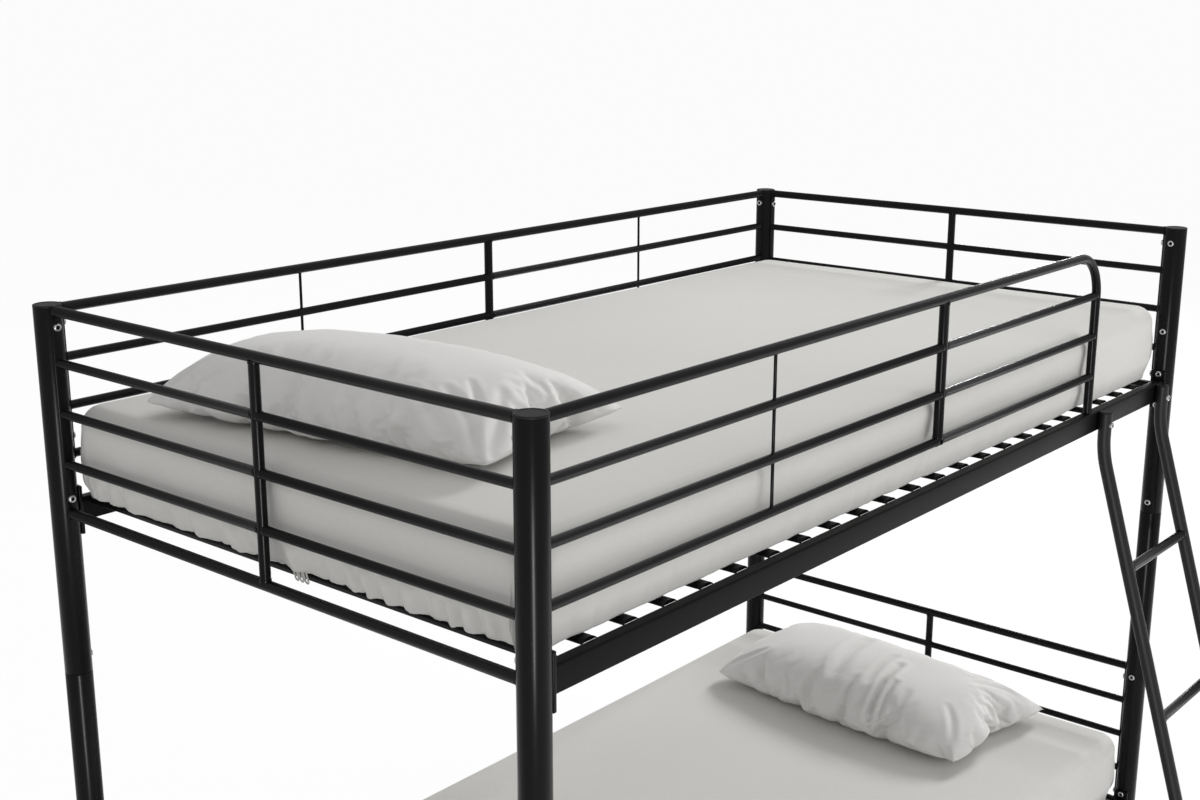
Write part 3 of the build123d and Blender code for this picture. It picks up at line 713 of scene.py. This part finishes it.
def makeSheet(bunk, node, lo, hi, seed):
    s = sheetSet
    centre, half = (lo + hi) / 2, (hi - lo) / 2
    high = 2 * half.z
    wall = high - s["edge"]
    bm = roundedBlock(lo, hi - Vector((0, 0, s["thick"] / 2)), s, True)
    band = {e for f in bm.faces if f.calc_center_median().z < lo.z + s["bandHigh"] for e in f.edges}
    bmesh.ops.subdivide_edges(bm, edges=list(band), cuts=s["bandCuts"], use_grid_fill=True)
    hemEdges, shares = [e for e in bm.edges if len(e.link_faces) == 1], {}
    for ring in range(s["hemRings"]):  # rings that hang at the ends and turn in under the sides
        grown = bmesh.ops.extrude_edge_only(bm, edges=hemEdges)["geom"]
        hemEdges = edgesIn(grown)
        shares.update({v: (ring + 1) / s["hemRings"] for v in vertsIn(grown)})
    for v in bm.verts:
        p, share = v.co.copy(), shares.get(v, 0.0)
        rise = p.z - lo.z
        if rise > wall - s["topMargin"]:  # the stretched top
            wave = s["topWave"] * softNoise(p, s["topRate"], seed)
            v.co.z -= s["topDrop"] + wave * smoothStep(wall, high, rise)
            continue
        out = outwardAt(p, centre, half, s["corner"])
        end = smoothStep(s["endFrom"], s["endTo"], abs(out.x))
        along = p.y * abs(out.x) + p.x * abs(out.y)
        slant = along + s["slant"] * rise * softNoise(Vector((along, 0, 0)), s["slantRate"], seed + 2)
        fold = s["fold"] * abs(softNoise(Vector((slant, 0, 0)), s["foldRate"], seed))
        fold += s["ripple"] * abs(softNoise(Vector((slant, s["rippleShift"], 0)), s["rippleRate"], seed + 4))
        low = 1 - smoothStep(0.0, s["gatherHigh"], rise)
        fade = s["sideFold"] + (1 - s["sideFold"]) * end
        fade *= s["hemFold"] + (1 - s["hemFold"]) * smoothStep(0.0, s["hemHigh"], rise)  # even at the hem
        drape = softNoise(Vector((along, 0, rise * s["drapeStretch"])), s["drapeRate"], seed + 8)
        side = smoothStep(wall, wall - s["sideBlend"], rise)
        move = -s["drawIn"] * (1 - smoothStep(0.0, s["drawHigh"], rise))
        move -= s["drape"] * (1 + drape) * (1 - low) * side
        move += s["gather"] * (fold - s["foldMean"]) * low * fade
        move -= s["cornerDraw"] * 4 * out.x ** 2 * out.y ** 2 * (1 - smoothStep(0.0, s["cornerHigh"], rise))
        sewn = squareOut(p, centre, half, s) * side * smoothStep(0.0, s["squareHigh"], rise)
        v.co += out * (min(move, s["outMost"]) + sewn)
        if share:
            tuck = share * (s["tuckSide"] * (1 - end) + s["tuckEnd"] * end * max(0.0, 2 * share - 1))
            drop = s["hang"] * end * min(1.0, 2 * share) * (fold - s["hangMean"])
            v.co += Vector((0, 0, -drop)) - out * tuck
        lift = s["sideLift"] * low * (1 - end) * max(0.0, softNoise(p, s["liftRate"], seed + 5))
        v.co.z += lift + (s["hemUp"] + s["endUp"] * end) * low
    obj = finishPiece(bm, f"{bunk}Sheet", "sheetCloth", node, sharpAngle=180)
    solid = obj.modifiers.new("cloth", "SOLIDIFY")
    solid.thickness, solid.offset = s["thick"], -1
    sideFlap, endFlap = high + s["tuckSide"], high + s["tuckEnd"] + s["hang"]
    width, length = 2 * half.y + 2 * sideFlap, 2 * half.x + 2 * endFlap
    area = width * length - 4 * sideFlap * endFlap
    print(bunk, "sheet:", round(sum(p.area for p in obj.data.polygons), 3), "of", round(area, 3), "m2")
    return obj, (width, length), area


loopSet = dict(count=3, offset=0.035, inset=0.009, root=0.005, pitch=0.0105, round=0.3, drop=0.017,
               wire=0.0013, steps=8, lean=0.006)


def makeElasticLoops(node, lo, hi):  # slack loops of the hem's elastic
    s, bm = loopSet, bmesh.new()
    x, top = lo.x + s["inset"], lo.z + s["root"]
    half = s["pitch"] * s["round"]
    leg = ("straight", s["drop"] - half)
    for i in range(s["count"]):
        y = (lo.y + hi.y) / 2 - s["offset"] - i * s["pitch"]
        runs = [leg, ("bend", half, (0, -1, 0), math.pi), leg]
        sweepTube(bm, (x, y + half, top), (0, 0, -1), s["wire"], runs, s["steps"])
    bmesh.ops.holes_fill(bm, edges=bm.edges)
    for v in bm.verts:
        v.co.y -= s["lean"] * (top - v.co.z) / s["drop"]
    return finishPiece(bm, "elasticLoops", "sheetCloth", node, sharpAngle=180)


def makeMattress(bunk, seed):
    node = f"{bunk}_mattress"
    lo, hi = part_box(node)
    makeCore(bunk, node, lo, hi)
    sheet, flat, area = makeSheet(bunk, node, lo, hi, seed)
    trims = [makeElasticLoops(node, lo, hi)] if bunk == "upper" else []


makeMattress("upper", 1.7)
makeMattress("lower", 6.1)
print("mattresses and sheets done")

# pillows: two sewn faces blown up by a short cloth run, then laid down and creased
pillowSet = dict(cells=(58, 96), flat=(0.40, 0.68), bulge=(0.15, 0.10), startHigh=0.03, underShare=0.25,
                 wave=0.003, waveRate=14, seamCrease=0.7, pressure=20.0, mass=0.05, bend=0.05, tension=30.0,
                 quality=5, frames=12, seamZ=0.036, under=1.7, cornerSag=0.018, floorSoft=150.0,
                 bellyFrom=0.4, bellyTo=-0.8, topGap=0.0005, lift=0.0004, upFrom=0.05, upTo=0.35)
pillowLie = {
    "upper": dict(size=(0.352, 0.636), shift=(0.005, 0.016), turn=8.6, belly=0.052, flip=1, seed=2.3),
    "lower": dict(size=(0.364, 0.660), shift=(0.012, 0.015), turn=-4.2, belly=0.074, flip=-1, seed=5.9),
}
creaseSet = dict(bow=0.006, tip=0.3, fadeFrom=0.08, fadeRun=0.84, fadePower=0.7, ridge=0.4, ridgeOut=2.1)
creases = {  # from and to in the pillow's own metres, half width, depth
    "upper": [(-0.172, -0.300, -0.105, -0.200, 0.006, 0.006), (-0.178, -0.262, -0.128, -0.150, 0.006, 0.005),
              (-0.160, -0.308, -0.060, -0.262, 0.007, 0.006), (-0.150, -0.280, -0.070, -0.215, 0.005, 0.004),
              (-0.182, -0.215, -0.150, -0.130, 0.006, 0.003), (-0.165, 0.300, -0.110, 0.235, 0.006, 0.005),
              (-0.178, 0.270, -0.140, 0.190, 0.006, 0.004), (0.160, -0.295, 0.090, -0.225, 0.006, 0.004)],
    "lower": [(-0.030, -0.085, -0.225, -0.122, 0.0075, 0.011),
              (-0.100, -0.118, -0.235, -0.150, 0.0065, 0.009),
              (0.000, -0.050, -0.130, -0.064, 0.008, 0.006), (0.035, 0.050, -0.140, 0.024, 0.014, 0.009),
              (-0.130, -0.034, -0.215, -0.054, 0.007, 0.005), (-0.110, -0.160, -0.215, -0.188, 0.007, 0.004),
              (0.150, -0.285, 0.070, -0.200, 0.007, 0.005), (0.110, -0.290, 0.030, -0.235, 0.007, 0.004),
              (-0.165, 0.295, -0.120, 0.225, 0.006, 0.005), (-0.160, -0.300, -0.090, -0.245, 0.007, 0.004)],
}


def makeShell(bunk):  # two flat faces, sewn together all round
    s, lie = pillowSet, pillowLie[bunk]
    wide, long = s["flat"]
    bm = bmesh.new()
    bmesh.ops.create_grid(bm, x_segments=s["cells"][0], y_segments=s["cells"][1], size=0.5)
    upper = set(vertsIn(bmesh.ops.duplicate(bm, geom=bm.verts[:] + bm.edges[:] + bm.faces[:])["geom"]))
    for v in bm.verts:  # faces cut with bowed sides, so that they end up nearly straight
        x, y = 2 * v.co.x, 2 * v.co.y
        dome = (1 - x ** 4) * (1 - y ** 4)
        v.co.x = x * wide / 2 * (1 + s["bulge"][0] * (1 - y * y))
        v.co.y = y * long / 2 * (1 + s["bulge"][1] * (1 - x * x))
        if v in upper:
            v.co.z = dome * (s["startHigh"] + s["wave"] * softNoise(v.co, s["waveRate"], lie["seed"]))
        else:
            v.co.z = -s["underShare"] * s["startHigh"] * dome
    bmesh.ops.remove_doubles(bm, verts=bm.verts, dist=meshSet["join"])
    bmesh.ops.recalc_face_normals(bm, faces=bm.faces)
    creaseLayer = bm.edges.layers.float.new("crease_edge")
    for e in bm.edges:
        if all(abs(v.co.z) < meshSet["merge"] for v in e.verts):
            e[creaseLayer] = s["seamCrease"]
    mesh = bpy.data.meshes.new(f"{bunk}_pillowShell")
    bm.to_mesh(mesh)
    bm.free()
    obj = bpy.data.objects.new(f"{bunk}Pillow", mesh)
    scene.collection.objects.link(obj)
    return obj


def blowPillow(obj):
    s = pillowSet
    cloth = obj.modifiers.new("blow", "CLOTH")
    c = cloth.settings
    c.mass, c.quality, c.use_pressure, c.uniform_pressure_force = s["mass"], s["quality"], True, s["pressure"]
    c.tension_stiffness = c.compression_stiffness = s["tension"]
    c.bending_stiffness = s["bend"]
    c.effector_weights.gravity = 0
    cloth.collision_settings.use_collision = False
    cloth.point_cache.frame_start, cloth.point_cache.frame_end = 1, s["frames"]
    for f in range(1, s["frames"] + 1):
        scene.frame_set(f)


def bakeModifiers(obj):
    done = bpy.data.meshes.new_from_object(obj.evaluated_get(bpy.context.evaluated_depsgraph_get()))
    obj.modifiers.clear()
    obj.data = done


def layPillow(mesh, lie, high):  # to its real size, lower half pressed flat by its weight
    s = pillowSet
    low, top = boxOf([v.co for v in mesh.vertices])
    for v in mesh.vertices:
        x = (2 * v.co.x - low.x - top.x) / (top.x - low.x)
        y = (2 * v.co.y - low.y - top.y) / (top.y - low.y)
        if v.co.z > 0:
            z = s["seamZ"] + v.co.z / top.z * (high - s["seamZ"])
        else:
            z = s["seamZ"] + v.co.z / -low.z * s["seamZ"] * s["under"]
        z -= s["cornerSag"] * (x * y) ** 2
        z = math.log1p(math.exp(z * s["floorSoft"])) / s["floorSoft"]
        x *= lie["flip"]
        sink = lie["belly"] * (1 - y * y) * smoothStep(s["bellyFrom"], s["bellyTo"], x)  # filling slid to -X
        v.co = Vector((x * lie["size"][0] / 2 - sink, y * lie["size"][1] / 2, min(z, high - s["topGap"])))


def creaseDepth(p, marks):  # a groove along each mark, with a low ridge on its outer side
    s, total = creaseSet, 0.0
    for ax, ay, bx, by, wide, deep in marks:
        a, run = Vector((ax, ay)), Vector((bx - ax, by - ay))
        t = min(1.0, max(0.0, (p.xy - a).dot(run) / run.length_squared))
        if 0 < t < 1:
            d = abs((p.xy - a).cross(run) / run.length - s["bow"] * math.sin(math.pi * t))
        else:
            d = (p.xy - a - run * t).length + wide * s["tip"]
        fade = math.sin(math.pi * min(1.0, max(0.0, s["fadeFrom"] + s["fadeRun"] * t))) ** s["fadePower"]
        groove, ridge = math.exp(-(d / wide) ** 2), math.exp(-((d - s["ridgeOut"] * wide) / wide) ** 2)
        total += deep * fade * (groove - s["ridge"] * ridge)
    return total


def creasePillow(mesh, bunk, base):  # creases its upper side, then turns it and sets it in place
    s, lie = pillowSet, pillowLie[bunk]
    normals = [v.normal * lie["flip"] for v in mesh.vertices]
    spin = Matrix.Rotation(math.radians(lie["turn"]), 3, "Z")
    for v, normal in zip(mesh.vertices, normals):
        if normal.z > s["upFrom"]:
            v.co -= normal * creaseDepth(v.co, creases[bunk]) * smoothStep(s["upFrom"], s["upTo"], normal.z)
        v.co = spin @ v.co + base


def makePillow(bunk):
    s, lie, node = pillowSet, pillowLie[bunk], f"{bunk}_pillow"
    lo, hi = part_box(node)
    centre = (lo + hi) / 2 + Vector((*lie["shift"], 0))
    obj = makeShell(bunk)
    blowPillow(obj)
    bakeModifiers(obj)
    scene.frame_set(1)
    layPillow(obj.data, lie, hi.z - lo.z)
    sub = obj.modifiers.new("fine", "SUBSURF")
    sub.levels, sub.render_levels = 1, 1
    bakeModifiers(obj)
    mesh = obj.data
    creasePillow(mesh, bunk, Vector((centre.x, centre.y, lo.z + s["lift"])))
    bm = bmesh.new()
    bm.from_mesh(mesh)
    bmesh.ops.recalc_face_normals(bm, faces=bm.faces)
    bm.to_mesh(mesh)
    bm.free()
    smoothAll(mesh)
    mesh.materials.append(mats["pillowCloth"])
    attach(obj, node)
    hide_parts(node)


makePillow("upper")
makePillow("lower")
print("pillows done")

# floor, light and camera
stageSet = dict(floorSize=3000.0, floorDrop=0.0005, floorShade=(0.97, 0.97, 0.97, 1), floorRough=0.9,
                white=(1, 1, 1, 1), whiteShare=0.93, worldLevel=0.61)
cameraSet = dict(place=(-2.2473, -1.5174, 1.9529), yaw=40.288, pitch=14.341, lens=47.596, sensor=36, far=3000)


def makeFloor():  # nearly white to the camera, a plain pale surface to the light
    s, bm = stageSet, bmesh.new()
    bmesh.ops.create_grid(bm, x_segments=2, y_segments=2, size=s["floorSize"] / 2)
    mesh = bpy.data.meshes.new("floor")
    bm.to_mesh(mesh)
    bm.free()
    floor = bpy.data.objects.new("floor", mesh)
    floor.location.z = -s["floorDrop"]
    scene.collection.objects.link(floor)
    mat = bpy.data.materials.new("paleFloor")
    mat.use_nodes = True
    tree = mat.node_tree
    shader = tree.nodes["Principled BSDF"]
    shader.inputs["Base Color"].default_value = s["floorShade"]
    shader.inputs["Roughness"].default_value = s["floorRough"]
    path = addNode(tree, "ShaderNodeLightPath")
    white = addNode(tree, "ShaderNodeEmission", [("Color", s["white"]), ("Strength", 1.0)])
    share = addMath(tree, "MULTIPLY", path.outputs["Is Camera Ray"], s["whiteShare"])
    mix = addNode(tree, "ShaderNodeMixShader", [(0, share), (1, shader.outputs[0]), (2, white.outputs[0])])
    tree.links.new(mix.outputs[0], tree.nodes["Material Output"].inputs["Surface"])
    mesh.materials.append(mat)


def makeWorld():  # white to the camera, softer to the light
    s = stageSet
    world = bpy.data.worlds.new("studio")
    scene.world = world
    world.use_nodes = True
    tree = world.node_tree
    tree.nodes.clear()
    path = addNode(tree, "ShaderNodeLightPath")
    soft = addNode(tree, "ShaderNodeBackground", [("Color", s["white"]), ("Strength", s["worldLevel"])])
    white = addNode(tree, "ShaderNodeBackground", [("Color", s["white"]), ("Strength", 1.0)])
    links = [(0, path.outputs["Is Camera Ray"]), (1, soft.outputs[0]), (2, white.outputs[0])]
    mix = addNode(tree, "ShaderNodeMixShader", links)
    addNode(tree, "ShaderNodeOutputWorld", [("Surface", mix.outputs[0])])


lamps = {
    "keyLamp": dict(place=(6.4, 0.3, 4.2), aim=(0.0, 0.1, 0.9), size=(1.9, 1.9), power=312, gloss=False),
    "frontLamp": dict(place=(1.8, -4.4, 2.2), aim=(0.0, 0.0, 0.8), size=(3.0, 2.2), power=60, gloss=False),
    "endLamp": dict(place=(-4.6, -0.6, 0.5), aim=(-0.95, 0.0, 1.1), size=(2.6, 1.4), power=9, gloss=False),
    "glintLamp": dict(place=(6.4, 0.3, 4.2), aim=(0.0, 0.1, 0.9), size=(0.5, 0.5), power=22, diffuse=False),
    "edgeLamp": dict(place=(6.3, 2.5, 2.0), aim=(0.4, -0.35, 1.4), size=(0.5, 0.35), power=16, diffuse=False),
    "stripLamp": dict(place=(-2.75, -2.2, 0.6), aim=(-0.97, -0.33, 0.9), size=(0.22, 1.2), power=48,
                      diffuse=False),
}


def makeLamps():
    for name, s in lamps.items():
        data = bpy.data.lights.new(name, "AREA")
        data.shape = "RECTANGLE"
        data.size, data.size_y = s["size"]
        data.energy = s["power"]
        obj = bpy.data.objects.new(name, data)
        obj.location = s["place"]
        obj.rotation_mode = "QUATERNION"
        obj.rotation_quaternion = (Vector(s["aim"]) - Vector(s["place"])).to_track_quat("-Z", "Y")
        obj.visible_camera = False
        obj.visible_diffuse, obj.visible_glossy = s.get("diffuse", True), s.get("gloss", True)
        scene.collection.objects.link(obj)


def makeCamera():
    s = cameraSet
    data = bpy.data.cameras.new("photoCamera")
    data.sensor_width, data.lens = s["sensor"], s["lens"]
    data.clip_end = s["far"]
    cam = bpy.data.objects.new("photoCamera", data)
    yaw, pitch = math.radians(s["yaw"]), math.radians(s["pitch"])
    look = Vector((math.cos(yaw) * math.cos(pitch), math.sin(yaw) * math.cos(pitch), -math.sin(pitch)))
    cam.location = s["place"]
    cam.rotation_mode = "QUATERNION"
    cam.rotation_quaternion = look.to_track_quat("-Z", "Y")
    scene.collection.objects.link(cam)
    scene.camera = cam


makeFloor()
makeWorld()
makeLamps()
makeCamera()
scene.view_settings.view_transform = "Standard"
print("stage done")
